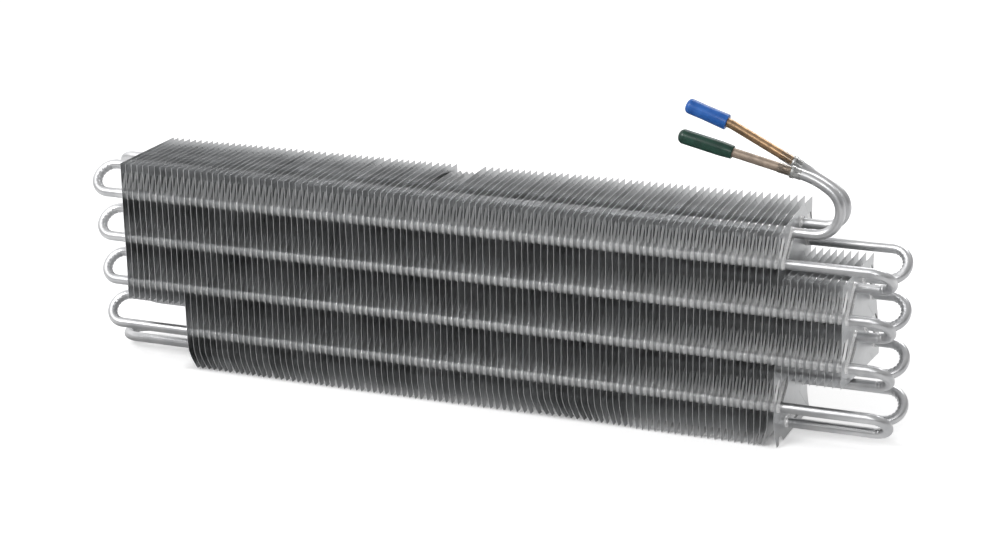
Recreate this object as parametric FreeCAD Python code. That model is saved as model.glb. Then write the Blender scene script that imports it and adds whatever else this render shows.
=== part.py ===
import FreeCAD, Part
import math
import os

V = FreeCAD.Vector
X_AXIS = V(1, 0, 0)
Y_AXIS = V(0, 1, 0)

# Evaporator coil of a frost-free refrigerator.
# X runs along the passes, with 0 half way between the return bends.
# Y runs through the fins from the front (minus) to the rear.
# Z is up, with 0 at the foot of the tall fins, on which the coil stands.

# Coil tube: a 5/16 inch tube on a grid of 3/4 inch
tube_diameter = 7.94
grid = 19.05
rows = 9
pass_length = 653.2
left_bend_step = 1.0

# Fins: aluminium strip with slanted slots, pushed on over the left bends
fin_depth = 88.0
fin_thickness = 0.3
fin_margin = 10.5
fin_pitch = 5.4
slot_fit = 0.02
slot_neck = 5.0
notch_radius = 5.5
notch_sides = 3

# Fin blocks: bare tube left between the fins and the bends, metal below the lowest tubes of
# the shorter blocks, and the solids that stand for the real fins, one of which is at every pitch
short_run = 48.6
bare_left = 22.0
bare_beside_tall = 69.6
bare_beside_low = 21.0
short_foot = 11.7
low_foot = 13.6
short_solids = 3
tall_solids = 48
low_solids = 2

# Connection ends: each curls up, then leans back over the fins
front_loop = dict(setback=49.6, first_radius=19.5, first_turn=142.0,
                  second_radius=58.0, second_turn=25.0, straight=8.0)
rear_loop = dict(setback=47.9, first_radius=15.0, first_turn=140.0,
                 second_radius=80.0, second_turn=13.0, straight=24.2)

# Copper stubs: one seated in each aluminium end
copper_diameter = 7.2
copper_wall = 0.8
socket_depth = 12.0
socket_fit = 0.02
lip_diameter = 9.2
lip_length = 2.2
lip_bevel = 0.6
front_copper = dict(straight=77.0)
rear_copper = dict(straight=52.0, radius=45.0, turn=8.0, end=24.0)

# Clear sleeves over the joints
sleeve_wall = 0.35
sleeve_on_copper = 10.5
sleeve_on_tube = 5.5
sleeve_taper = 1.0

# Push-on caps
cap_fit = 0.02
cap_round = 4.5
front_cap = dict(length=44.0, mouth=10.5, tip=11.4, grip=30.0)
rear_cap = dict(length=34.5, mouth=12.4, tip=12.0, grip=24.0)

# Worked-out sizes
tube_radius = tube_diameter / 2
right_bend_x = pass_length / 2
left_bend_x = -right_bend_x
bend_centres = grid * math.sqrt(2)
bend_radius = bend_centres / 2
inner_column = bend_radius
outer_column = inner_column + grid
half_depth = fin_depth / 2
slot_half_width = tube_radius + slot_fit
copper_radius = copper_diameter / 2
lip_radius = lip_diameter / 2


def column(row):
    """Distance of a row's tubes from the middle plane: rows alternate inner, outer."""
    return outer_column if row % 2 else inner_column


def height(row):
    """Height of a row's tubes, counted down from the top row."""
    return fin_margin + (rows - 1 - row) * grid


# Coil tube

def passes():
    """Centres (y, z, row) of the straight passes, in the order the tube runs through them."""
    front = [(-column(row), height(row), row) for row in range(rows)]
    rear = [(y * -1, z, row) for y, z, row in reversed(front)]
    return front + rear


def bend_edges(here, there, at_x, side):
    """Arc of a return bend between two passes, bulging out to one side."""
    start = V(at_x, here[0], here[1])
    end = V(at_x, there[0], there[1])
    middle = (start + end) * 0.5 + X_AXIS * side * (end - start).Length * 0.5
    return Part.Arc(start, middle, end).toShape()


def turn(start, angle, radius, sweep):
    """Arc in an upright plane along X, turning upwards: the edge, its end and its last direction."""
    across = V(math.sin(angle), 0, -math.cos(angle))
    centre = start - across * radius
    def place(part):
        a = angle + sweep * part
        return centre + V(math.sin(a), 0, -math.cos(a)) * radius
    edge = Part.Arc(start, place(0.5), place(1.0)).toShape()
    return edge, place(1.0), angle + sweep


def along(angle):
    """Unit vector of a direction in an upright plane along X."""
    return V(math.cos(angle), 0, math.sin(angle))


def connection(y, z, loop):
    """Edges of a connection end from its last pass outwards, with its end point and direction."""
    edges = []
    point = V(right_bend_x - loop["setback"], y, z)
    angle = 0.0
    for name in ("first", "second"):
        sweep = math.radians(loop[name + "_turn"])
        edge, point, angle = turn(point, angle, loop[name + "_radius"], sweep)
        edges.append(edge)
    end = point + along(angle) * loop["straight"]
    edges.append(Part.makeLine(point, end))
    return edges, end, angle


def tube_path(stops):
    """Edges of the serpentine, from the front connection round to the rear one."""
    edges = []
    last = len(stops) - 1
    here_x = right_bend_x - front_loop["setback"]
    for index, (y, z, row) in enumerate(stops):
        to_left = index % 2 == 0
        if index == last:
            there_x = right_bend_x - rear_loop["setback"]
        else:
            mean_row = (row + stops[index + 1][2]) / 2
            there_x = left_bend_x + left_bend_step * mean_row if to_left else right_bend_x
        edges.append(Part.makeLine(V(here_x, y, z), V(there_x, y, z)))
        if index < last:
            edges.append(bend_edges((y, z), stops[index + 1][:2], there_x, -1 if to_left else 1))
        here_x = there_x
    return edges


def sweep_round(edges, radius, start, direction):
    """Solid rod of a given radius along joined edges."""
    ring = Part.Wire(Part.makeCircle(radius, start, direction))
    return Part.Wire(edges).makePipeShell([ring], True, False)


def lip(end, angle):
    """Rolled lip round the mouth of an aluminium end."""
    back = end - along(angle) * lip_length
    collar = Part.makeCylinder(lip_radius, lip_length, back, along(angle))
    return collar.makeChamfer(lip_bevel, [edge for edge in collar.Edges if len(edge.Vertexes) == 1])


def coil_tube():
    stops = passes()
    front_edges, front_end, front_angle = connection(stops[0][0], stops[0][1], front_loop)
    rear_edges, rear_end, rear_angle = connection(stops[-1][0], stops[-1][1], rear_loop)
    path = list(reversed(front_edges)) + tube_path(stops) + rear_edges
    tube = sweep_round(path, tube_radius, front_end, along(front_angle))
    for end, angle in ((front_end, front_angle), (rear_end, rear_angle)):
        tube = tube.fuse(lip(end, angle))
        mouth = end - along(angle) * socket_depth
        bore = Part.makeCylinder(copper_radius + socket_fit, socket_depth + lip_length, mouth, along(angle))
        tube = tube.cut(bore)
    return tube, (front_end, front_angle), (rear_end, rear_angle)


# Fins

def slot(first, second, x):
    """Plain slot that seats two tubes, one at each end."""
    a = V(x, first[0], first[1])
    b = V(x, second[0], second[1])
    run = (b - a).normalize()
    side = run.cross(X_AXIS) * slot_half_width
    reach = run * slot_half_width
    corners = [a - reach - side, a - reach + side, b + reach + side, b + reach - side]
    face = Part.Face(Part.makePolygon(corners + corners[:1]))
    return face.extrude(X_AXIS * fin_thickness)


def waisted_slot(first, second, x):
    """Slot of an end fin: a round seat for each tube and a narrow neck between them."""
    a = V(x, first[0], first[1])
    b = V(x, second[0], second[1])
    run = b - a
    side = run.cross(X_AXIS).normalize() * slot_neck / 2
    corners = [a - side, a + side, b + side, b - side]
    cutter = Part.Face(Part.makePolygon(corners + corners[:1])).extrude(X_AXIS * fin_thickness)
    for seat in (a, b):
        cutter = cutter.fuse(Part.makeCylinder(slot_half_width, fin_thickness, seat, X_AXIS))
    return cutter


def slot_pairs(top_row, bottom_row):
    """Pairs of tube centres that share a slot: an inner row and the outer row below it."""
    pairs = []
    for row in range(top_row, bottom_row, 2):
        for face in (-1, 1):
            pairs.append(((face * column(row), height(row)), (face * column(row + 1), height(row + 1))))
    if bottom_row == rows - 1:
        pairs.append(((-inner_column, height(bottom_row)), (inner_column, height(bottom_row))))
    return pairs


def fin_outline(top_row, bottom_row, foot_margin, x):
    """Outline of a fin: a rectangle, with two half-round notches in the foot of a tall one."""
    low = height(bottom_row) - foot_margin
    high = height(top_row) + fin_margin
    foot = []
    if bottom_row == rows - 1:
        for centre in (-outer_column, outer_column):
            for step in range(notch_sides + 1):
                angle = math.pi * (1 - step / notch_sides)
                foot.append(V(x, centre + notch_radius * math.cos(angle), low + notch_radius * math.sin(angle)))
    corners = [V(x, -half_depth, low)] + foot
    corners += [V(x, half_depth, low), V(x, half_depth, high), V(x, -half_depth, high)]
    return Part.Face(Part.makePolygon(corners + corners[:1])).extrude(X_AXIS * fin_thickness)


def fin(top_row, bottom_row, foot_margin, x, cut):
    blank = fin_outline(top_row, bottom_row, foot_margin, x)
    return blank.cut([cut(first, second, x) for first, second in slot_pairs(top_row, bottom_row)])


def fin_blocks():
    """Name, top row, bottom row, foot margin, first x, last x and solids of each block, from the left."""
    short_x = left_bend_x + bare_left
    tall_x = short_x + short_run + fin_pitch
    tall_end = right_bend_x - bare_beside_tall
    return (
        ("short_fin", 0, 5, short_foot, short_x, short_x + short_run, short_solids),
        ("tall_fin", 0, rows - 1, fin_margin, tall_x, tall_end, tall_solids),
        ("low_fin", 2, 5, low_foot, tall_end + fin_pitch, right_bend_x - bare_beside_low, low_solids),
    )


def fins():
    """The solids of each block, spread evenly from its first fin to its last."""
    made = {}
    for name, top_row, bottom_row, foot_margin, first_x, last_x, solids in fin_blocks():
        for index in range(solids):
            x = first_x + (last_x - first_x) * index / (solids - 1)
            ends_block = index == solids - 1 and name != "short_fin"
            cut = waisted_slot if ends_block else slot
            made["%s_%02d" % (name, index + 1)] = fin(top_row, bottom_row, foot_margin, x, cut)
    return made


# Copper stubs, joint sleeves and caps

def copper_stub(end, angle, stub):
    """Copper tube from the bottom of its socket to inside its cap, with its end point and direction."""
    start = end - along(angle) * socket_depth
    bend_start = start + along(angle) * (socket_depth + stub["straight"])
    edges = [Part.makeLine(start, bend_start)]
    point = bend_start
    last_angle = angle
    if "turn" in stub:
        edge, point, last_angle = turn(bend_start, angle, stub["radius"], math.radians(stub["turn"]))
        edges.append(edge)
        edges.append(Part.makeLine(point, point + along(last_angle) * stub["end"]))
        point = point + along(last_angle) * stub["end"]
    rod = sweep_round(edges, copper_radius, start, along(angle))
    bore = sweep_round(edges, copper_radius - copper_wall, start, along(angle))
    return rod.cut(bore), point, last_angle


def revolve_on(profile, end, angle):
    """Turn a closed profile of (distance along, radius) points about a direction through a point."""
    run = along(angle)
    outward = Y_AXIS
    points = [end + run * distance + outward * radius for distance, radius in profile]
    face = Part.Face(Part.makePolygon(points + points[:1]))
    return face.revolve(end, run, 360)


def joint_sleeve(end, angle):
    """Clear sleeve that follows the copper, the lip and the aluminium."""
    fit = socket_fit
    inside = [
        (sleeve_on_copper, copper_radius + fit),
        (fit, copper_radius + fit),
        (fit, lip_radius + fit),
        (-lip_length - fit, lip_radius + fit),
        (-lip_length - fit, tube_radius + fit),
        (-lip_length - sleeve_on_tube, tube_radius + fit),
    ]
    outside = [
        (-lip_length - sleeve_on_tube, tube_radius + fit + sleeve_wall),
        (-lip_length - sleeve_wall, tube_radius + fit + sleeve_wall),
        (-lip_length - sleeve_wall, lip_radius + fit + sleeve_wall),
        (sleeve_wall, lip_radius + fit + sleeve_wall),
        (sleeve_wall + sleeve_taper, copper_radius + fit + sleeve_wall),
        (sleeve_on_copper, copper_radius + fit + sleeve_wall),
    ]
    return revolve_on(inside + outside, end, angle)


def end_cap(tip_inside, angle, cap):
    """Push-on cap: a blind tube with a rounded end, gripping the copper over part of its length."""
    mouth = -cap["grip"]
    end = mouth + cap["length"]
    bore = copper_radius + cap_fit
    tip = cap["tip"] / 2
    shoulder = end - cap_round
    bevel = cap_round * (1 - math.sqrt(0.5))
    profile = [
        (mouth, bore),
        (cap_fit, bore),
        (cap_fit, 0),
        (end, 0),
        (end, tip - cap_round),
        (end - bevel, tip - bevel),
        (shoulder, tip),
        (mouth, cap["mouth"] / 2),
    ]
    return revolve_on(profile, tip_inside, angle)


def build():
    tube, front, rear = coil_tube()
    made = {"coil_tube": tube}
    made.update(fins())
    for name, (end, angle), stub, cap in (
        ("front", front, front_copper, front_cap),
        ("rear", rear, rear_copper, rear_cap),
    ):
        copper, tip, tip_angle = copper_stub(end, angle, stub)
        made[name + "_copper_stub"] = copper
        made[name + "_joint_sleeve"] = joint_sleeve(end, angle)
        made[name + "_cap"] = end_cap(tip, tip_angle, cap)
    return made


os.makedirs("parts", exist_ok=True)
for node, shape in build().items():
    shape.exportStep("parts/%s.step" % node)
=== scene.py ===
import math

import bmesh
import bpy
import numpy as np
from mathutils import Matrix, Vector, noise


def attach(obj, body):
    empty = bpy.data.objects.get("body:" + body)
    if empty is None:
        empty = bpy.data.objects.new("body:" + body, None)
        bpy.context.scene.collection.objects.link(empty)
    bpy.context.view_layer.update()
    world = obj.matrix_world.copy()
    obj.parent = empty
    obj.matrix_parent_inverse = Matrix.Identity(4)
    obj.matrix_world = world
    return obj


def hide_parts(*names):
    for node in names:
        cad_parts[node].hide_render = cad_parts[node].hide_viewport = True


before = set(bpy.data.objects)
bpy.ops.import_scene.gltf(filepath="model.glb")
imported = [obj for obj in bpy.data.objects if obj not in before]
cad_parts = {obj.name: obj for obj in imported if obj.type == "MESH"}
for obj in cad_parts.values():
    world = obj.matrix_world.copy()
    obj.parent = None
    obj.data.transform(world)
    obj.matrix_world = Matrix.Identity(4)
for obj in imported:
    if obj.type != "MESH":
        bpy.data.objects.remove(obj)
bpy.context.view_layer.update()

# Coil tube: one length of drawn 5/16 inch aluminium tube, bent to and fro over a die into
# eighteen passes and curled up at both ends, where a rolled lip holds the copper.
# The die leaves small wrinkles inside each bend.
tube_radius = 0.00397
row_step = 0.01905
row_count = 9
foot_to_first_row = 0.0105
bend_radius = row_step / math.sqrt(2)
inner_column = bend_radius
outer_column = inner_column + row_step
right_bend_x = 0.3266
left_bend_step = 0.001
tube_sides = 28
bend_steps = 64
loop_steps = 36
wrinkle_height = 0.0006
wrinkle_spacing = 0.0031
wrinkle_fade = 0.35
bend_flattening = 0.00022
lip_radius = 0.0046
lip_length = 0.0022
copper_radius = 0.0036
# Each connection end: how far before the right bends it sets off, its arcs as radius and degrees, and
# the straight run after them
front_loop = dict(setback=0.0496, arcs=((0.0195, 142), (0.058, 25)), straight=0.0080)
rear_loop = dict(setback=0.0479, arcs=((0.015, 140), (0.080, 13)), straight=0.0242)


def column(row):
    """Distance of a row's tubes from the middle plane."""
    return outer_column if row % 2 else inner_column


def height(row):
    """Height of a row's tubes, counted down from the top row."""
    return foot_to_first_row + (row_count - 1 - row) * row_step


def ring_after(made):
    """The far ring of edges of an extrusion."""
    verts = {item for item in made if isinstance(item, bmesh.types.BMVert)}
    return [item for item in made if isinstance(item, bmesh.types.BMEdge) and verts.issuperset(item.verts)]


def draw_out(mesh, ring, move, spread=1.0):
    """Pull an open ring along a straight run, and widen or narrow it by a factor."""
    made = bmesh.ops.extrude_edge_only(mesh, edges=ring)["geom"]
    ring = ring_after(made)
    verts = list({vert for edge in ring for vert in edge.verts})
    middle = sum((vert.co for vert in verts), Vector()) / len(verts)
    bmesh.ops.translate(mesh, verts=verts, vec=move)
    grown = Matrix.Diagonal((spread, spread, spread, 1))
    bmesh.ops.transform(mesh, verts=verts, matrix=grown, space=Matrix.Translation(-middle - Vector(move)))
    return ring


def bend_tube(mesh, ring, centre, point, travel, angle, steps):
    """Turn an open ring about a centre, setting off along the direction of travel."""
    axis = (point - centre).cross(travel).normalized()
    made = bmesh.ops.spin(mesh, geom=ring, cent=centre, axis=axis, angle=angle, steps=steps,
                          dvec=(0, 0, 0), use_duplicate=False)["geom_last"]
    return [item for item in made if isinstance(item, bmesh.types.BMEdge)]


def wrinkle_bend(mesh, first_vert, centre, point, travel):
    """Raise wrinkles on the inside of a bend, and flatten its outside a little."""
    outward = (point - centre).normalized()
    for vert in mesh.verts[first_vert:]:
        arm = vert.co - centre
        turned = math.atan2(arm.dot(travel), arm.dot(outward))
        spoke = outward * math.cos(turned) + travel * math.sin(turned)
        offset = vert.co - centre - spoke * bend_radius
        inward = -offset.dot(spoke) / tube_radius
        fade = math.sin(min(max(turned, 0.0), math.pi)) ** wrinkle_fade
        if inward > 0:
            run = turned * (bend_radius - tube_radius)
            wave = 0.5 - 0.5 * math.cos(2 * math.pi * run / wrinkle_spacing)
            vert.co += offset.normalized() * wrinkle_height * wave * inward ** 2 * fade
        else:
            vert.co -= offset.normalized() * bend_flattening * inward ** 2 * fade


def curl_end(mesh, ring, y, z, loop):
    """Curl a connection end upwards and roll its lip; gives the lip's mouth and direction."""
    point = Vector((right_bend_x - loop["setback"], y, z))
    travel = Vector((1, 0, 0))
    for radius, degrees in loop["arcs"]:
        across = Vector((-travel.z, 0, travel.x))
        ring = bend_tube(mesh, ring, point + across * radius, point, travel, math.radians(degrees),
                         loop_steps)
        turn = Matrix.Rotation(-math.radians(degrees), 3, "Y")
        point = point + across * radius + turn @ (-across * radius)
        travel = turn @ travel
    ring = draw_out(mesh, ring, travel * (loop["straight"] - lip_length))
    end = point + travel * loop["straight"]
    radius = tube_radius
    # The lip swells, runs straight, then turns in and back to hold the copper
    for advance, wanted in ((0.0002, 0.00445), (0.0003, lip_radius), (0.0012, lip_radius),
                            (0.0003, 0.0045), (0.0002, 0.0042), (0.0, copper_radius + 0.00008),
                            (-0.004, copper_radius + 0.00008)):
        ring = draw_out(mesh, ring, travel * advance, wanted / radius)
        radius = wanted
    return end, travel


coil = bmesh.new()
front = [(-column(row), height(row), row) for row in range(row_count)]
stops = front + [(-y, z, row) for y, z, row in reversed(front)]
start = Vector((right_bend_x - front_loop["setback"], stops[0][0], stops[0][1]))
to_x = Matrix.Rotation(math.radians(90), 4, "Y")
made = bmesh.ops.create_circle(coil, cap_ends=False, segments=tube_sides, radius=tube_radius,
                               matrix=Matrix.Translation(start) @ to_x)
first_ring = list({edge for vert in made["verts"] for edge in vert.link_edges})
ring = first_ring
here = start.x
for index, (y, z, row) in enumerate(stops):
    travel = Vector((1 if index % 2 else -1, 0, 0))
    if index + 1 < len(stops):
        next_y, next_z, next_row = stops[index + 1]
        there = right_bend_x if index % 2 else -right_bend_x + left_bend_step * (row + next_row) / 2
    else:
        there = right_bend_x - rear_loop["setback"]
    ring = draw_out(coil, ring, (there - here, 0, 0))
    here = there
    if index + 1 < len(stops):
        point = Vector((there, y, z))
        centre = (point + Vector((there, next_y, next_z))) / 2
        first_vert = len(coil.verts)
        ring = bend_tube(coil, ring, centre, point, travel, math.pi, bend_steps)
        coil.verts.ensure_lookup_table()
        wrinkle_bend(coil, first_vert, centre, point, travel)
front_mouth, front_run = curl_end(coil, first_ring, stops[0][0], stops[0][1], front_loop)
rear_mouth, rear_way = curl_end(coil, ring, stops[-1][0], stops[-1][1], rear_loop)
bmesh.ops.remove_doubles(coil, verts=coil.verts, dist=0.00001)
bmesh.ops.recalc_face_normals(coil, faces=coil.faces)


def finish_piece(mesh, name, material, slot, *nodes):
    """Make a smooth-shaded object of a bmesh, ride it on the coil and let it stand for CAD nodes."""
    data = bpy.data.meshes.new(name)
    mesh.to_mesh(data)
    mesh.free()
    for face in data.polygons:
        face.use_smooth = True
    data.materials.append(material)
    piece = bpy.data.objects.new(name, data)
    bpy.context.scene.collection.objects.link(piece)
    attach(piece, "root")
    if nodes:
        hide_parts(*nodes)
    return piece


def paint(code):
    """Linear colour of an sRGB hex value."""
    parts = [int(code[place:place + 2], 16) / 255 for place in (1, 3, 5)]
    return [part / 12.92 if part <= 0.04045 else ((part + 0.055) / 1.055) ** 2.4 for part in parts] + [1.0]


def add_node(tree, kind, settings, inputs):
    """Add a node with its settings, and set or link its inputs."""
    node = tree.nodes.new(kind)
    for name, value in settings.items():
        setattr(node, name, value)
    for name, value in inputs.items():
        if isinstance(value, bpy.types.NodeSocket):
            tree.links.new(value, node.inputs[name])
        else:
            node.inputs[name].default_value = value
    return node


# Drawn aluminium: bright and slightly streaked along the tube, with soft dull patches about 17 mm
# across. The die's streaks are drawn 1.1 mm apart, as the real ones are too fine to show.
drawn_aluminium = bpy.data.materials.new("drawn_aluminium")
drawn_aluminium.use_nodes = True
tree = drawn_aluminium.node_tree
shader = tree.nodes["Principled BSDF"]
shader.inputs["Metallic"].default_value = 1.0
place = add_node(tree, "ShaderNodeTexCoord", {}, {})
along = add_node(tree, "ShaderNodeMapping", {}, {"Vector": place.outputs["Object"], "Scale": (4, 900, 900)})
streaks = add_node(tree, "ShaderNodeTexNoise", {}, {"Vector": along.outputs[0], "Scale": 1.0, "Detail": 4.0})
patches = add_node(tree, "ShaderNodeTexNoise", {},
                   {"Vector": place.outputs["Object"], "Scale": 60.0, "Detail": 3.0})
tone = add_node(tree, "ShaderNodeValToRGB", {}, {"Fac": patches.outputs["Fac"]})
tone.color_ramp.elements[0].position = 0.3
tone.color_ramp.elements[0].color = paint("#cfd0d2")
tone.color_ramp.elements[1].position = 0.7
tone.color_ramp.elements[1].color = paint("#e8e8e9")
dull = add_node(tree, "ShaderNodeMapRange", {}, {"Value": streaks.outputs["Fac"], "From Min": 0.3,
                                                "From Max": 0.7, "To Min": 0.30, "To Max": 0.44})
scratch = add_node(tree, "ShaderNodeBump", {}, {"Height": streaks.outputs["Fac"], "Strength": 0.15,
                                               "Distance": 0.0002})
tree.links.new(tone.outputs["Color"], shader.inputs["Base Color"])
tree.links.new(dull.outputs["Result"], shader.inputs["Roughness"])
tree.links.new(scratch.outputs["Normal"], shader.inputs["Normal"])
finish_piece(coil, "serpentine_tube", drawn_aluminium, "tube_aluminium", "coil_tube")

# Fins: thin aluminium strip, blanked with slanted slots that have turned-up edges, and pushed
# on over the left bends. Each slot seats an inner tube and the outer tube below it.
# The strip is soft, so the fins wave, curl at the foot and are bent over in places.
fin_half_depth = 0.044
fin_thickness = 0.0003
fin_margin = foot_to_first_row
short_foot = 0.0117
low_foot = 0.0136
seat_radius = tube_radius + 0.00004
neck_half_width = 0.0034
neck_edge_share = 0.85
slot_edge = ((0.0011, 0.0), (0.0004, 0.0003), (0.00005, 0.0010), (0.0, 0.0027))
notch_radius = 0.0055
notch_steps = 8
seat_steps = 9
foot_cut_step = 0.0025
foot_cuts = (1, 3, 4, 6, 7)
upright_cuts = (-0.04, -0.027, 0.0, 0.027, 0.04)
fin_pitch = 0.0054
short_run = 0.0486
first_fin_x = -right_bend_x + 0.022
first_tall_x = first_fin_x + short_run + fin_pitch
last_tall_x = right_bend_x - 0.0696
first_low_x = last_tall_x + fin_pitch
last_low_x = right_bend_x - 0.021
blocks = (
    ("short", 0, 5, short_foot, first_fin_x, first_fin_x + short_run, 10),
    ("tall", 0, row_count - 1, fin_margin, first_tall_x, last_tall_x, 95),
    ("low", 2, 5, low_foot, first_low_x, last_low_x, 9),
)


def slot_ring(sheet, first, second, grow, rise):
    """Ring of vertices round a slot with two round seats and a neck, where its edge rises less."""
    run = (second - first).normalized()
    side = Vector((0, -run.z, run.y))
    radius = seat_radius + grow
    gape = math.asin((neck_half_width + grow) / radius)
    ring = []
    for centre, forward in ((first, -run), (second, run)):
        aside = side if forward == run else -side
        for step in range(seat_steps + 1):
            angle = (math.pi - gape) * (1 - 2 * step / seat_steps)
            reach = forward * math.cos(angle) + aside * math.sin(angle)
            low_part = max(abs(angle) - math.pi / 2, 0) / (math.pi / 2 - gape)
            level = rise * (1 - (1 - neck_edge_share) * low_part)
            ring.append(sheet.verts.new(centre + reach * radius + Vector((level, 0, 0))))
    return ring


def fin_sheet(top_row, bottom_row, foot_margin):
    """Flat fin with slots, turned-up slot edges and, on a tall fin, two notches in its foot."""
    sheet = bmesh.new()
    low = height(bottom_row) - foot_margin
    high = height(top_row) + fin_margin
    outline = [(-fin_half_depth, low)]
    if bottom_row == row_count - 1:
        for centre in (-outer_column, outer_column):
            for step in range(notch_steps + 1):
                angle = math.pi * (1 - step / notch_steps)
                aside = centre + notch_radius * math.cos(angle)
                outline.append((aside, low + notch_radius * math.sin(angle)))
    outline += [(fin_half_depth, low), (fin_half_depth, high), (-fin_half_depth, high)]
    corners = [sheet.verts.new((0, y, z)) for y, z in outline]
    pairs = []
    for row in range(top_row, bottom_row, 2):
        for face in (-1, 1):
            pairs.append(((face * column(row), height(row)), (face * column(row + 1), height(row + 1))))
    if bottom_row == row_count - 1:
        pairs.append(((-inner_column, height(bottom_row)), (inner_column, height(bottom_row))))
    slots = []
    for first, second in pairs:
        seats = (Vector((0, *first)), Vector((0, *second)))
        slots.append([slot_ring(sheet, *seats, grow, rise) for grow, rise in slot_edge])
    loops = [corners] + [rings[0] for rings in slots]
    edges = [sheet.edges.new((loop[index - 1], loop[index])) for loop in loops for index in range(len(loop))]
    bmesh.ops.triangle_fill(sheet, edges=edges, use_beauty=True, use_dissolve=False)
    for rings in slots:
        for inner, outer in zip(rings, rings[1:]):
            for index in range(len(inner)):
                face = sheet.faces.new((inner[index - 1], inner[index], outer[index], outer[index - 1]))
                face.material_index = 1
    # Cuts across the sheet give it the corners that it waves and bends by
    cuts = [((0, 0, low + fin_margin / 2 + row_step / 2 * step), (0, 0, 1)) for step in range(2 * row_count)]
    cuts += [((0, 0, low + foot_cut_step * step), (0, 0, 1)) for step in foot_cuts]
    cuts += [((0, y, 0), (0, 1, 0)) for y in upright_cuts]
    for spot, across in cuts:
        everything = sheet.verts[:] + sheet.edges[:] + sheet.faces[:]
        bmesh.ops.bisect_plane(sheet, geom=everything, dist=0.000001, plane_co=spot, plane_no=across)
    bmesh.ops.recalc_face_normals(sheet, faces=sheet.faces)
    bmesh.ops.solidify(sheet, geom=sheet.faces[:], thickness=fin_thickness)
    sheet.normal_update()
    for face in sheet.faces:
        if abs(face.normal.x) < 0.5 and face.material_index == 0:
            face.material_index = 2
    data = bpy.data.meshes.new("fin_sheet")
    sheet.to_mesh(data)
    sheet.free()
    return data


# Where feet are bent sideways along the coil, and by how much at the very foot
foot_bend_x = (-0.25, -0.20, -0.12, -0.02, 0.04, 0.065, 0.10, 0.13, 0.152, 0.236, 0.252, 0.257)
foot_bend = (0.0080, 0.0062, 0.0036, 0.0030, 0.0042, 0.0085, 0.0075, 0.0045, 0.0018, 0.0016, -0.0045, 0.0025)
bent_height = 0.022
foot_curve = 1.7
foot_lift = 0.25
foot_unevenness = 0.25
# Where the tops are pressed up at the rear and down at the front, and by how much
top_rise_x = (-0.08, 0.0, 0.06, 0.20, 0.257)
top_rise = (0.0003, 0.0010, 0.0017, 0.0018, 0.0022)
top_droop = 0.0044
pressed_above = 0.152
# How far the strip waves, the tops lean and the spacing is uneven
wave_height = 0.0007
slow_top_lean = 0.0016
quick_top_lean = 0.0012
leaning_above = 0.13
lean_at_front = 0.35
right_lean_from = 0.19
right_lean = 0.0021
low_lean = 0.0025
low_twist = 0.006
uneven_spacing = 0.0016
# A few fins have one top corner knocked over
crushed_from = -0.0350
crushed_to = -0.0180
crushed_above = 0.148
crushed_aside = 0.008
crushed_down = 0.0055


def ramp(value, start, end):
    """Share of the way from start to end, held between 0 and 1."""
    return np.clip((value - start) / (end - start), 0, 1)


def wave(number, y, z):
    """Slow sideways waviness of one fin."""
    slow = noise.noise((number * 0.35, y * 18, z * 14))
    quick = noise.noise((number * 1.7, y * 40, z * 30))
    return wave_height * (slow + 0.5 * quick)


def bent_fin(name, number, x, flat):
    """Vertices of one fin of a block at x, with its waves and with the bends of its place."""
    shape = flat.copy()
    y, z = flat[:, 1], flat[:, 2]
    top = height(0) + fin_margin
    shape[:, 0] += x + np.array([wave(number, *spot) for spot in zip(y, z)])
    slow = slow_top_lean * noise.noise((number * 0.55, 9, 2))
    quick = quick_top_lean * noise.noise((number * 1.9, 4, 6))
    share = lean_at_front + (1 - lean_at_front) * ramp(y, -fin_half_depth, 0.02)
    shape[:, 0] += (slow + quick) * ramp(z, leaning_above, top) * share
    if name == "tall":
        foot = ramp(z, bent_height, 0)
        bend = np.interp(x, foot_bend_x, foot_bend)
        bend *= 1 + foot_unevenness * noise.noise((number * 0.6, 3, 7))
        shape[:, 0] += bend * foot ** foot_curve
        shape[:, 2] += foot_lift * abs(bend) * foot ** 2
        lean = ramp(x, right_lean_from, last_tall_x) ** 2 * ramp(z, 0, height(0))
        shape[:, 0] += right_lean * lean ** 2
        rise = np.interp(x, top_rise_x, top_rise) * ramp(y, -0.02, 0.03)
        droop = top_droop * ramp(x, -0.25, 0.05) * ramp(y, 0, -fin_half_depth) ** 2
        shape[:, 2] += (rise - droop) * ramp(z, pressed_above, top)
        if crushed_from < x < crushed_to:
            corner = (ramp(y, 0, fin_half_depth) * ramp(z, crushed_above, top)) ** 1.4
            shape[:, 0] -= crushed_aside * corner
            shape[:, 2] -= crushed_down * corner
    if name == "low":
        twist = ramp(x, first_low_x, last_low_x) ** 3
        rear = ramp(y, -fin_half_depth, fin_half_depth)
        shape[:, 0] += twist * (low_lean + low_twist * rear * ramp(z, height(2), height(5)))
    return shape


# Rolled strip: grey, softly shiny, with faint rolling lines, smears about 22 mm across from handling,
# and a slanted crease between one slot and the next. The rolling lines are drawn 0.8 mm apart, as the
# real ones are too fine to show.
crease_half_width = 0.0009
crease_level = 0.1605
rolled_strip = bpy.data.materials.new("rolled_aluminium_strip")
rolled_strip.use_nodes = True
tree = rolled_strip.node_tree
shader = tree.nodes["Principled BSDF"]
place = add_node(tree, "ShaderNodeTexCoord", {}, {})
along = add_node(tree, "ShaderNodeMapping", {}, {"Vector": place.outputs["Object"], "Scale": (300, 1200, 12)})
lines = add_node(tree, "ShaderNodeTexNoise", {}, {"Vector": along.outputs[0], "Scale": 1.0, "Detail": 3.0})
smears = add_node(tree, "ShaderNodeTexNoise", {},
                  {"Vector": place.outputs["Object"], "Scale": 45.0, "Detail": 4.0})
tone = add_node(tree, "ShaderNodeValToRGB", {}, {"Fac": smears.outputs["Fac"]})
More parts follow.
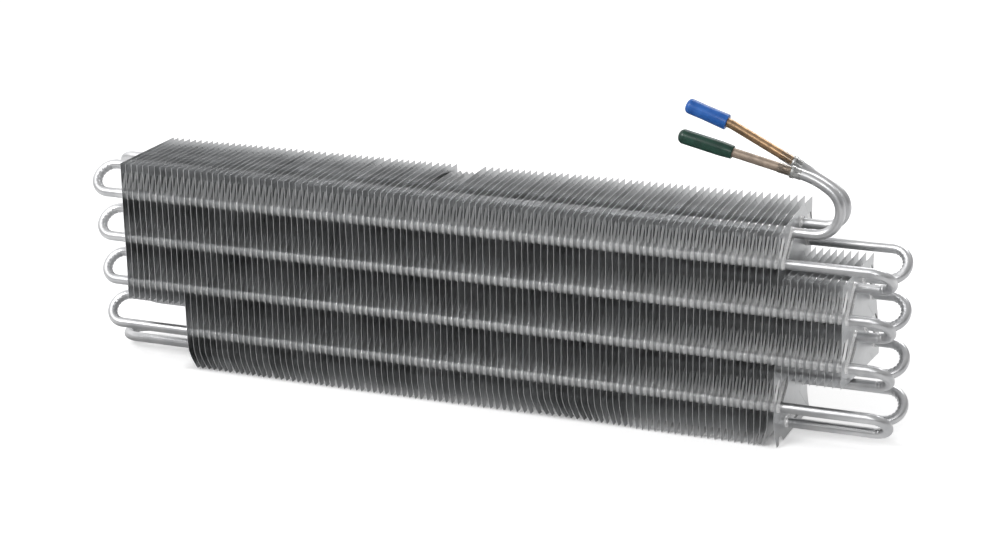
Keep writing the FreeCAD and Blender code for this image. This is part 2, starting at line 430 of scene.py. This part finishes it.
tone.color_ramp.elements[0].position = 0.3
tone.color_ramp.elements[0].color = paint("#cccdce")
tone.color_ramp.elements[1].position = 0.7
tone.color_ramp.elements[1].color = paint("#e0e1e2")
dull = add_node(tree, "ShaderNodeMapRange", {}, {"Value": smears.outputs["Fac"], "From Min": 0.3,
                                                "From Max": 0.7, "To Min": 0.30, "To Max": 0.44})
axes = add_node(tree, "ShaderNodeSeparateXYZ", {}, {0: place.outputs["Object"]})
side = add_node(tree, "ShaderNodeMath", {"operation": "ABSOLUTE"}, {0: axes.outputs["Y"]})
slant = add_node(tree, "ShaderNodeMath", {"operation": "ADD"}, {0: side.outputs[0], 1: axes.outputs["Z"]})
level = add_node(tree, "ShaderNodeMath", {"operation": "SUBTRACT"}, {0: slant.outputs[0], 1: crease_level})
apart = add_node(tree, "ShaderNodeMath", {"operation": "PINGPONG"}, {0: level.outputs[0], 1: row_step})
crease = add_node(tree, "ShaderNodeMapRange", {"interpolation_type": "SMOOTHSTEP"},
                  {"Value": apart.outputs[0], "From Min": 0.0, "From Max": crease_half_width,
                   "To Min": 1.0, "To Max": 0.0})
outside = add_node(tree, "ShaderNodeMapRange", {},
                   {"Value": side.outputs[0], "From Min": 0.021, "From Max": 0.024})
short_crease = add_node(tree, "ShaderNodeMath", {"operation": "MULTIPLY"},
                        {0: crease.outputs[0], 1: outside.outputs[0]})
grain = add_node(tree, "ShaderNodeBump", {}, {"Height": lines.outputs["Fac"], "Strength": 0.12,
                                             "Distance": 0.0002})
folds = add_node(tree, "ShaderNodeBump", {}, {"Height": short_crease.outputs[0], "Strength": 0.7,
                                             "Distance": 0.0005, "Normal": grain.outputs["Normal"]})
# Above each outer tube a leaf-shaped patch of painted highlight, white and hardly metallic so that the
# lamps light it, with painted shade on either side: a dark hooked shadow line on its left and a dark gap
# on its right. They show along the top band, and lower down only towards the right end, where they
# also reach further in and are brighter.
outer_level = height(7)
tube_spacing = 2 * row_step
leaf_slant = 32.0
leaf_wobble = 0.008
over = add_node(tree, "ShaderNodeMath", {"operation": "SUBTRACT"}, {0: axes.outputs["Z"], 1: outer_level})
over = add_node(tree, "ShaderNodeMath", {"operation": "MODULO"}, {0: over.outputs[0], 1: tube_spacing})
leaf_border_noise = add_node(tree, "ShaderNodeTexNoise", {},
                   {"Vector": place.outputs["Object"], "Scale": 130.0, "Detail": 2.0})
wobble = add_node(tree, "ShaderNodeMath", {"operation": "MULTIPLY_ADD"},
                  {0: leaf_border_noise.outputs["Fac"], 1: leaf_wobble, 2: over.outputs[0]})
top_band = add_node(tree, "ShaderNodeMapRange", {},
                    {"Value": axes.outputs["Z"], "From Min": 0.142, "From Max": 0.144})
right_part = add_node(tree, "ShaderNodeMapRange", {},
                      {"Value": axes.outputs["X"], "From Min": 0.08, "From Max": 0.24})
reached = add_node(tree, "ShaderNodeMath", {"operation": "MAXIMUM"},
                   {0: top_band.outputs[0], 1: right_part.outputs[0]})
inward = add_node(tree, "ShaderNodeMath", {"operation": "SUBTRACT"}, {0: fin_half_depth, 1: side.outputs[0]})
reach = add_node(tree, "ShaderNodeMapRange", {}, {"Value": axes.outputs["X"], "From Min": -0.3,
                                                 "From Max": 0.3, "To Min": 0.0107, "To Max": 0.0165})
depth = add_node(tree, "ShaderNodeMath", {"operation": "DIVIDE"},
                 {0: inward.outputs[0], 1: reach.outputs["Result"]})
leant = add_node(tree, "ShaderNodeMath", {"operation": "MULTIPLY_ADD"},
                 {0: over.outputs[0], 1: -leaf_slant, 2: depth.outputs[0]})


def patch(tree, strength, borders):
    """Multiply a strength by soft borders, each a source and the values where it is out and in."""
    for source, outside_at, inside_at in borders:
        border = add_node(tree, "ShaderNodeMapRange", {"interpolation_type": "SMOOTHSTEP"},
                          {"Value": source.outputs[0], "From Min": outside_at, "From Max": inside_at})
        strength = add_node(tree, "ShaderNodeMath", {"operation": "MULTIPLY"},
                            {0: strength, 1: border.outputs[0]}).outputs[0]
    return strength


leaf = patch(tree, reached.outputs[0], ((leant, -0.23, -0.18), (leant, 0.23, 0.18),
                                        (wobble, 0.0100, 0.0120), (wobble, 0.0256, 0.0240)))
painted_hook_shadow = patch(tree, reached.outputs[0], ((leant, -0.20, -0.24), (leant, -0.42, -0.38), (depth, 0.03, 0.08),
                                        (wobble, 0.0160, 0.0180), (wobble, 0.0256, 0.0240)))
painted_gap_shade = patch(tree, reached.outputs[0], ((leant, 0.20, 0.24), (leant, 0.40, 0.35),
                                        (wobble, 0.0100, 0.0120), (wobble, 0.0210, 0.0180)))
dark = add_node(tree, "ShaderNodeMath", {"operation": "MAXIMUM"}, {0: painted_hook_shadow, 1: painted_gap_shade})
# Painted light: the leaf is a white highlight and the lines either side are near-black shade, both fading
# towards the left end.
painted_light_rightward = add_node(tree, "ShaderNodeMapRange", {},
                {"Value": right_part.outputs[0], "To Min": 0.55, "To Max": 1.0})
leaf = add_node(tree, "ShaderNodeMath", {"operation": "MULTIPLY"}, {0: leaf, 1: painted_light_rightward.outputs[0]}).outputs[0]
dark = add_node(tree, "ShaderNodeMath", {"operation": "MULTIPLY"}, {0: dark.outputs[0], 1: painted_light_rightward.outputs[0]})
painted_highlight_mix = add_node(tree, "ShaderNodeMix", {"data_type": "RGBA"},
                     {0: leaf, 6: tone.outputs["Color"], 7: paint("#ffffff")})
lined = add_node(tree, "ShaderNodeMix", {"data_type": "RGBA"},
                 {0: dark.outputs[0], 6: painted_highlight_mix.outputs[2], 7: paint("#232425")})
metal = add_node(tree, "ShaderNodeMapRange", {}, {"Value": leaf, "To Min": 1.0, "To Max": 0.1})
tree.links.new(lined.outputs[2], shader.inputs["Base Color"])
tree.links.new(metal.outputs["Result"], shader.inputs["Metallic"])
tree.links.new(dull.outputs["Result"], shader.inputs["Roughness"])
tree.links.new(folds.outputs["Normal"], shader.inputs["Normal"])

# Slot edges and cut edges: the same strip. The slot edges are near white and only partly metallic, a
# painted highlight so that they glint brightly in the lamps; the cut edges, where the shear cut the strip,
# are greyer and duller. The marks of punch and shear are drawn 1.1 mm apart, as finer ones would not show.
edge_metals = []
# The slot edges' near-white, partly diffuse colour is a painted highlight.
for name, dark, light, metal, dullness in (("slot_edge_aluminium_painted_glint", "#e2e2e2", "#fafafa", 0.3, 0.26),
                                           ("sheared_strip_edge_aluminium", "#bebfc0", "#d8d9da", 0.6, 0.34)):
    edge_metal = bpy.data.materials.new(name)
    edge_metal.use_nodes = True
    tree = edge_metal.node_tree
    shader = tree.nodes["Principled BSDF"]
    shader.inputs["Metallic"].default_value = metal
    shader.inputs["Roughness"].default_value = dullness
    place = add_node(tree, "ShaderNodeTexCoord", {}, {})
    pull = add_node(tree, "ShaderNodeMapping", {},
                    {"Vector": place.outputs["Object"], "Scale": (150, 900, 900)})
    marks = add_node(tree, "ShaderNodeTexNoise", {}, {"Vector": pull.outputs[0], "Scale": 1.0, "Detail": 3.0})
    tone = add_node(tree, "ShaderNodeValToRGB", {}, {"Fac": marks.outputs["Fac"]})
    tone.color_ramp.elements[0].position = 0.3
    tone.color_ramp.elements[0].color = paint(dark)
    tone.color_ramp.elements[1].position = 0.7
    tone.color_ramp.elements[1].color = paint(light)
    tree.links.new(tone.outputs["Color"], shader.inputs["Base Color"])
    edge_metals.append(edge_metal)
slot_edge_painted_glint, sheared_edge = edge_metals

number = 0
for name, top_row, bottom_row, foot_margin, first_x, last_x, count in blocks:
    sheet = fin_sheet(top_row, bottom_row, foot_margin)
    flat = np.empty(len(sheet.vertices) * 3, np.float32)
    sheet.vertices.foreach_get("co", flat)
    flat = flat.reshape(-1, 3)
    sheet.materials.append(rolled_strip)
    sheet.materials.append(slot_edge_painted_glint)
    sheet.materials.append(sheared_edge)
    nodes = sorted(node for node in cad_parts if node.startswith(name + "_fin"))
    spacing = (last_x - first_x) / (len(nodes) - 1)
    for index in range(count):
        x = first_x + (last_x - first_x) * index / (count - 1)
        x += uneven_spacing * noise.noise((number * 0.07, 5, 5)) * math.sin(math.pi * index / (count - 1))
        data = sheet.copy()
        data.name = "%s_strip_%02d" % (name, index + 1)
        data.vertices.foreach_set("co", bent_fin(name, number, x, flat).reshape(-1))
        piece = bpy.data.objects.new(data.name, data)
        bpy.context.scene.collection.objects.link(piece)
        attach(piece, "root")
        # A strip beside a solid fin's place stands for that fin
        nearest = round((x - first_x) / spacing)
        if abs(x - first_x - nearest * spacing) < fin_pitch * 0.6 and nodes[nearest]:
            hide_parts(nodes[nearest])
            nodes[nearest] = None
        number += 1

# Copper ends: drawn copper tube, browned by heat and handling, butted into the aluminium. The front
# one is dull brown all over; the rear one is lighter, more orange and shinier, a painted orange highlight.
# The stains are about 5 mm across.
# The rear copper's lighter orange colour is a painted highlight.
for node, name, dark, light, metal, dullest, shiniest in (
        ("front_copper_stub", "dull_brown_copper", "#8a7c70", "#ab9a8a", 0.6, 0.55, 0.42),
        ("rear_copper_stub", "brown_copper_painted_highlight", "#937b62", "#cda882", 0.9, 0.42, 0.28)):
    copper = bpy.data.materials.new(name)
    copper.use_nodes = True
    tree = copper.node_tree
    shader = tree.nodes["Principled BSDF"]
    shader.inputs["Metallic"].default_value = metal
    place = add_node(tree, "ShaderNodeTexCoord", {}, {})
    stain = add_node(tree, "ShaderNodeTexNoise", {},
                     {"Vector": place.outputs["Object"], "Scale": 220.0, "Detail": 5.0})
    tone = add_node(tree, "ShaderNodeValToRGB", {}, {"Fac": stain.outputs["Fac"]})
    tone.color_ramp.elements[0].position = 0.3
    tone.color_ramp.elements[0].color = paint(dark)
    tone.color_ramp.elements[1].position = 0.7
    tone.color_ramp.elements[1].color = paint(light)
    dull = add_node(tree, "ShaderNodeMapRange", {}, {"Value": stain.outputs["Fac"], "From Min": 0.3,
                                                    "From Max": 0.7, "To Min": dullest, "To Max": shiniest})
    tree.links.new(tone.outputs["Color"], shader.inputs["Base Color"])
    tree.links.new(dull.outputs["Result"], shader.inputs["Roughness"])
    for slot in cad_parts[node].material_slots:
        slot.material = copper

# Joint sleeves: clear shrink tube over each joint between copper and aluminium. Shrinking leaves a
# faint haze, in clouds about 3 mm across.
clear_vinyl = bpy.data.materials.new("clear_shrink_vinyl")
clear_vinyl.use_nodes = True
tree = clear_vinyl.node_tree
shader = tree.nodes["Principled BSDF"]
shader.inputs["Base Color"].default_value = paint("#f4f4f2")
shader.inputs["IOR"].default_value = 1.45
shader.inputs["Transmission Weight"].default_value = 1.0
place = add_node(tree, "ShaderNodeTexCoord", {}, {})
haze = add_node(tree, "ShaderNodeTexNoise", {},
                {"Vector": place.outputs["Object"], "Scale": 300.0, "Detail": 3.0})
dull = add_node(tree, "ShaderNodeMapRange", {}, {"Value": haze.outputs["Fac"], "To Min": 0.05, "To Max": 0.2})
tree.links.new(dull.outputs["Result"], shader.inputs["Roughness"])
for node in ("front_joint_sleeve", "rear_joint_sleeve"):
    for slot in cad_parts[node].material_slots:
        slot.material = clear_vinyl

# Caps: soft vinyl dipped over a former, so the blind end is round, the mouth has a soft rim and
# the skin is glossy, with clouds and drips about 6 mm across. Each grips its copper end, and the blue
# one is a little waisted where the copper stops.
cap_clearance = 0.00002
cap_sides = 48
dome_steps = 10
front_copper_run = 0.077
rear_copper_run = 0.052
rear_copper_bend_radius = 0.045
rear_copper_turn = 8
rear_copper_end = 0.024
front_tip = front_mouth + front_run * front_copper_run
rear_bend = Matrix.Rotation(-math.radians(rear_copper_turn), 3, "Y")
rear_run = rear_bend @ rear_way
rear_arm = Vector((-rear_way.z, 0, rear_way.x)) * rear_copper_bend_radius
rear_tip = rear_mouth + rear_way * rear_copper_run + rear_arm - rear_bend @ rear_arm
rear_tip += rear_run * rear_copper_end
# Each cap: its tip's distance past the end of the copper, the round of its blind end, and its side as
# distances and radii from there to the mouth
caps = (
    dict(node="front_cap", name="green", dark="#102e25", light="#1b4235", end=front_tip, run=front_run,
         length=0.014, dome=0.0046, radius=0.0057,
         side=((-0.021, 0.0057), (-0.0292, 0.0052), (-0.0298, 0.0050), (-0.0300, 0.0046))),
    dict(node="rear_cap", name="blue", dark="#17509b", light="#2c66b4", end=rear_tip, run=rear_run,
         length=0.0105, dome=0.0036, radius=0.0060,
         side=((0.004, 0.0060), (-0.004, 0.00585), (-0.012, 0.0060), (-0.0232, 0.0062), (-0.0238, 0.0060),
               (-0.0240, 0.0056))),
)
for cap in caps:
    vinyl = bpy.data.materials.new("dipped_%s_vinyl" % cap["name"])
    vinyl.use_nodes = True
    tree = vinyl.node_tree
    shader = tree.nodes["Principled BSDF"]
    place = add_node(tree, "ShaderNodeTexCoord", {}, {})
    cloud = add_node(tree, "ShaderNodeTexNoise", {},
                     {"Vector": place.outputs["Object"], "Scale": 160.0, "Detail": 3.0})
    tone = add_node(tree, "ShaderNodeValToRGB", {}, {"Fac": cloud.outputs["Fac"]})
    tone.color_ramp.elements[0].position = 0.3
    tone.color_ramp.elements[0].color = paint(cap["dark"])
    tone.color_ramp.elements[1].position = 0.7
    tone.color_ramp.elements[1].color = paint(cap["light"])
    drips = add_node(tree, "ShaderNodeBump", {},
                     {"Height": cloud.outputs["Fac"], "Strength": 0.2, "Distance": 0.0004})
    tree.links.new(tone.outputs["Color"], shader.inputs["Base Color"])
    tree.links.new(drips.outputs["Normal"], shader.inputs["Normal"])
    shader.inputs["Roughness"].default_value = 0.3
    bore = copper_radius + cap_clearance
    profile = [(cap["length"], 0.0)]
    for step in range(dome_steps + 1):
        angle = math.pi / 2 * step / dome_steps
        distance = cap["length"] - cap["dome"] * (1 - math.cos(angle))
        profile.append((distance, cap["radius"] - cap["dome"] + cap["dome"] * math.sin(angle)))
    profile += cap["side"]
    profile += [(cap["side"][-1][0], bore), (cap_clearance, bore), (cap_clearance, 0.0)]
    shell = bmesh.new()
    verts = [shell.verts.new((distance, 0, out)) for distance, out in profile]
    edges = [shell.edges.new(pair) for pair in zip(verts, verts[1:])]
    bmesh.ops.spin(shell, geom=verts + edges, cent=(0, 0, 0), axis=(1, 0, 0), angle=2 * math.pi,
                   steps=cap_sides, dvec=(0, 0, 0), use_merge=True, use_duplicate=False)
    bmesh.ops.remove_doubles(shell, verts=shell.verts, dist=0.000005)
    bmesh.ops.recalc_face_normals(shell, faces=shell.faces)
    turned = Matrix.Rotation(-math.atan2(cap["run"].z, cap["run"].x), 4, "Y")
    bmesh.ops.transform(shell, verts=shell.verts, matrix=Matrix.Translation(cap["end"]) @ turned)
    finish_piece(shell, "%s_dipped_cap" % cap["name"], vinyl, "%s_vinyl" % cap["name"], cap["node"])

# Studio: a pale floor in a dim room with a bright ceiling, seen as plain white, and three soft
# lamps. In the metal the floor shows a painted reflection, a glow seen only there: dim in front of the
# coil, and pale behind it and off both ends.
# Under the coil the floor has no glow of its own: painted shade over the coil's footprint, which keeps its
# shadow dark.
floor_mesh = bmesh.new()
bmesh.ops.create_grid(floor_mesh, x_segments=1, y_segments=1, size=12.0)
data = bpy.data.meshes.new("floor")
floor_mesh.to_mesh(data)
floor_mesh.free()
floor = bpy.data.objects.new("floor", data)
bpy.context.scene.collection.objects.link(floor)
pale_paper = bpy.data.materials.new("pale_paper")
pale_paper.use_nodes = True
tree = pale_paper.node_tree
shader = tree.nodes["Principled BSDF"]
shader.inputs["Base Color"].default_value = paint("#f6f6f6")
shader.inputs["Roughness"].default_value = 0.9
seen = add_node(tree, "ShaderNodeLightPath", {}, {})
place = add_node(tree, "ShaderNodeTexCoord", {}, {})
axes = add_node(tree, "ShaderNodeSeparateXYZ", {}, {0: place.outputs["Object"]})
beyond = add_node(tree, "ShaderNodeMath", {"operation": "ABSOLUTE"}, {0: axes.outputs["Y"]})
along = add_node(tree, "ShaderNodeMath", {"operation": "ABSOLUTE"}, {0: axes.outputs["X"]})
# Painted shade: the glow is left out over the coil's footprint.
open_side = add_node(tree, "ShaderNodeMapRange", {},
                     {"Value": beyond.outputs[0], "From Min": 0.038, "From Max": 0.046})
open_end = add_node(tree, "ShaderNodeMapRange", {},
                    {"Value": along.outputs[0], "From Min": 0.245, "From Max": 0.262})
open_floor = add_node(tree, "ShaderNodeMath", {"operation": "MAXIMUM"},
                      {0: open_side.outputs[0], 1: open_end.outputs[0]})
lift = add_node(tree, "ShaderNodeMath", {"operation": "MULTIPLY"}, {0: open_floor.outputs[0], 1: 0.35})
glow = add_node(tree, "ShaderNodeEmission", {}, {"Color": paint("#ffffff"), "Strength": lift.outputs[0]})
lit = add_node(tree, "ShaderNodeAddShader", {}, {0: shader.outputs[0], 1: glow.outputs[0]})
plain = add_node(tree, "ShaderNodeMixShader", {}, {0: seen.outputs["Is Camera Ray"], 1: shader.outputs[0],
                                                   2: lit.outputs[0]})
# Painted reflection: a glow that only glossy rays see, dim in front of the coil, pale behind it and off both
# ends.
far = add_node(tree, "ShaderNodeMapRange", {}, {"Value": axes.outputs["X"], "From Min": -0.15,
                                               "From Max": 0.30, "To Min": 0.60, "To Max": 0.85})
near = add_node(tree, "ShaderNodeMapRange", {"interpolation_type": "SMOOTHSTEP"},
                {"Value": axes.outputs["Y"], "From Min": -0.02, "From Max": 0.13, "To Min": 0.33,
                 "To Max": far.outputs[0]})
right_part = add_node(tree, "ShaderNodeMapRange", {}, {"Value": axes.outputs["X"], "From Min": 0.24,
                                                     "From Max": 0.31, "To Min": 0.0, "To Max": 0.68})
left_part = add_node(tree, "ShaderNodeMapRange", {}, {"Value": axes.outputs["X"], "From Min": -0.28,
                                                    "From Max": -0.42, "To Min": 0.0, "To Max": 0.9})
brighter = add_node(tree, "ShaderNodeMath", {"operation": "MAXIMUM"},
                    {0: near.outputs[0], 1: left_part.outputs[0]})
brighter = add_node(tree, "ShaderNodeMath", {"operation": "MAXIMUM"},
                    {0: brighter.outputs[0], 1: right_part.outputs[0]})
painted_reflection_glow = add_node(tree, "ShaderNodeEmission", {},
                    {"Color": paint("#ffffff"), "Strength": brighter.outputs[0]})
pick = add_node(tree, "ShaderNodeMixShader", {}, {0: seen.outputs["Is Glossy Ray"], 1: plain.outputs[0],
                                                  2: painted_reflection_glow.outputs[0]})
tree.links.new(pick.outputs[0], tree.nodes["Material Output"].inputs["Surface"])
data.materials.append(pale_paper)

world = bpy.data.worlds.new("white_surround")
bpy.context.scene.world = world
world.use_nodes = True
tree = world.node_tree
shader = tree.nodes["Background"]
seen = add_node(tree, "ShaderNodeLightPath", {}, {})
place = add_node(tree, "ShaderNodeTexCoord", {}, {})
axes = add_node(tree, "ShaderNodeSeparateXYZ", {}, {0: place.outputs["Generated"]})
wall = add_node(tree, "ShaderNodeMapRange", {"interpolation_type": "SMOOTHSTEP"},
                {"Value": axes.outputs["Y"], "From Min": -0.3, "From Max": 0.4, "To Min": 0.22,
                 "To Max": 0.95})
above = add_node(tree, "ShaderNodeMapRange", {"interpolation_type": "SMOOTHSTEP"},
                 {"Value": axes.outputs["Z"], "From Min": 0.05, "From Max": 0.55, "To Min": wall.outputs[0],
                  "To Max": 1.1})
leftward = add_node(tree, "ShaderNodeMapRange", {"interpolation_type": "SMOOTHSTEP"},
                    {"Value": axes.outputs["X"], "From Min": -0.20, "From Max": -0.52, "To Min": 0.40,
                     "To Max": 1.0})
room = add_node(tree, "ShaderNodeMath", {"operation": "MULTIPLY"},
                {0: above.outputs[0], 1: leftward.outputs[0]})
clear = add_node(tree, "ShaderNodeMath", {"operation": "ADD", "use_clamp": True},
                 {0: seen.outputs["Is Camera Ray"], 1: seen.outputs["Is Transmission Ray"]})
soft = add_node(tree, "ShaderNodeMapRange", {}, {"Value": clear.outputs[0], "To Min": 0.55, "To Max": 1.0})
strength = add_node(tree, "ShaderNodeMix", {}, {"Factor": seen.outputs["Is Glossy Ray"],
                                                2: soft.outputs["Result"], 3: room.outputs[0]})
shader.inputs["Color"].default_value = paint("#ffffff")
tree.links.new(strength.outputs[0], shader.inputs["Strength"])

for name, place_at, size, watts in (("key_lamp", (-0.9, -1.6, 1.9), 1.2, 30.0),
                                    ("fill_lamp", (0.6, -1.9, 1.0), 0.8, 6.0),
                                    ("back_lamp", (0.4, 1.6, 1.6), 1.4, 16.0)):
    data = bpy.data.lights.new(name, "AREA")
    data.shape = "DISK"
    data.size = size
    data.energy = watts
    lamp = bpy.data.objects.new(name, data)
    bpy.context.scene.collection.objects.link(lamp)
    lamp.location = place_at
    aim = Vector((0, 0, 0.1)) - Vector(place_at)
    lamp.rotation_euler = aim.to_track_quat("-Z", "Y").to_euler()

# Camera: placed by the vanishing points of the tube passes, a long lens a little above the coil
azimuth = math.radians(23.212)
elevation = math.radians(18.058)
roll = math.radians(-1.097)
stand = (0.7622, -1.7424, 0.7165)
back = Vector((math.sin(azimuth) * math.cos(elevation), -math.cos(azimuth) * math.cos(elevation),
               math.sin(elevation)))
level = Vector((math.cos(azimuth), math.sin(azimuth), 0))
upright = back.cross(level)
right = level * math.cos(roll) + upright * math.sin(roll)
up = upright * math.cos(roll) - level * math.sin(roll)
data = bpy.data.cameras.new("camera")
data.lens = 89.80
data.sensor_width = 36.0
data.clip_end = 60.0
camera = bpy.data.objects.new("camera", data)
bpy.context.scene.collection.objects.link(camera)
camera.matrix_world = Matrix.Translation(stand) @ Matrix((right, up, back)).transposed().to_4x4()
bpy.context.scene.camera = camera
bpy.context.scene.view_settings.view_transform = "Standard"
